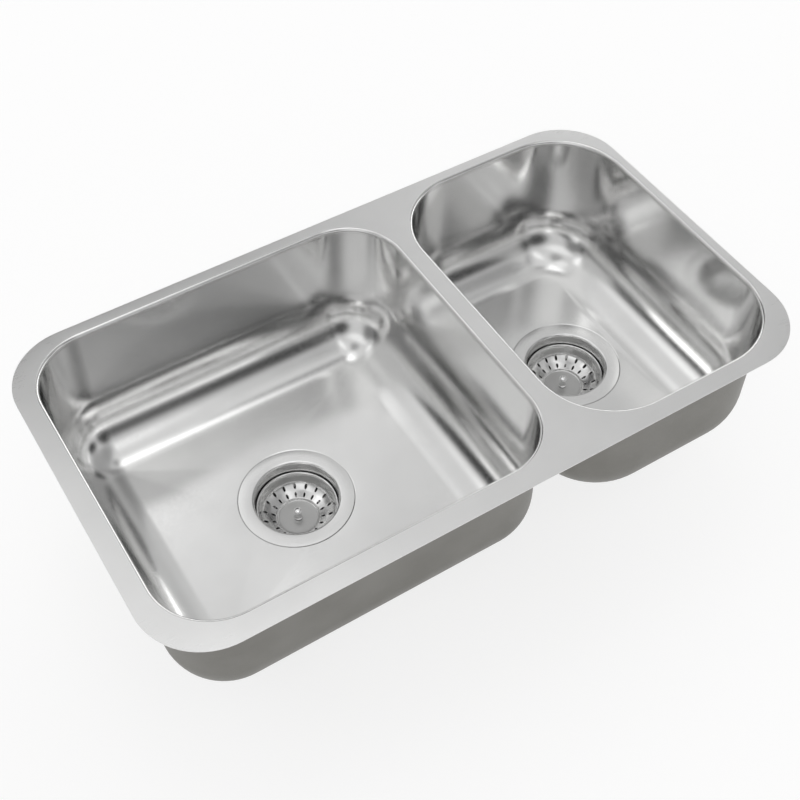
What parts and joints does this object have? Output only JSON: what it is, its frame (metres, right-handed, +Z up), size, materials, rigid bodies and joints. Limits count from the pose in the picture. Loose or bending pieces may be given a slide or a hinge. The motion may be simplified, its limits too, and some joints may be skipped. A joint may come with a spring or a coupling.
{
  "type": "double bowl kitchen sink",
  "caption": "Undermount stainless steel kitchen sink with a large and a small bowl side by side, each with a lift-out basket strainer.",
  "frame": {"origin": "on the deck's flat top face, in the middle of the divider between the two bowls, half way from front to back", "axes": "+X along the length towards the small bowl, +Y towards the back, +Z up out of the deck"},
  "size_m": [0.676, 0.381, 0.224],
  "materials": {
    "deck_steel": "satin brushed along the length",
    "bowl_steel": "soft polished drawn steel",
    "strainer_steel": "polished pressed steel",
    "knob_steel": "bright turned steel",
    "nut_metal": "dull cast and plated",
    "pad_rubber": "matt",
    "black_rubber": "matt",
    "seal_foam": "matt foam",
    "fibre": "pressed fibre board",
    "white_plastic": "moulded",
    "grey_plastic": "moulded"
  },
  "bodies": {
    "sink": {"deck_flange": "deck_steel", "large_bowl": "bowl_steel", "small_bowl": "bowl_steel", "large_sound_pad_a": "pad_rubber", "large_sound_pad_b": "pad_rubber", "small_sound_pad_a": "pad_rubber", "small_sound_pad_b": "pad_rubber", "large_strainer_body": "strainer_steel", "large_flange_seal": "seal_foam", "large_floor_gasket": "black_rubber", "large_friction_ring": "fibre", "large_locknut": "nut_metal", "large_tail_washer": "white_plastic", "large_coupling_nut": "nut_metal", "small_strainer_body": "strainer_steel", "small_flange_seal": "seal_foam", "small_floor_gasket": "black_rubber", "small_friction_ring": "fibre", "small_locknut": "nut_metal", "small_tail_washer": "white_plastic", "small_coupling_nut": "nut_metal"},
    "large_basket_unit": {"large_basket": "strainer_steel", "large_stopper": "black_rubber", "large_backing_washer": "strainer_steel", "large_knob_stem": "knob_steel", "large_stem_sleeve": "grey_plastic"},
    "small_basket_unit": {"small_basket": "strainer_steel", "small_stopper": "black_rubber", "small_backing_washer": "strainer_steel", "small_knob_stem": "knob_steel", "small_stem_sleeve": "grey_plastic"}
  },
  "joints": [
    {"name": "large_basket_lift", "type": "slide", "parent": "sink", "child": "large_basket_unit", "axis": [0, 0, 1], "range_m": [0, 0.065]},
    {"name": "small_basket_lift", "type": "slide", "parent": "sink", "child": "small_basket_unit", "axis": [0, 0, 1], "range_m": [0, 0.065]}
  ]
}
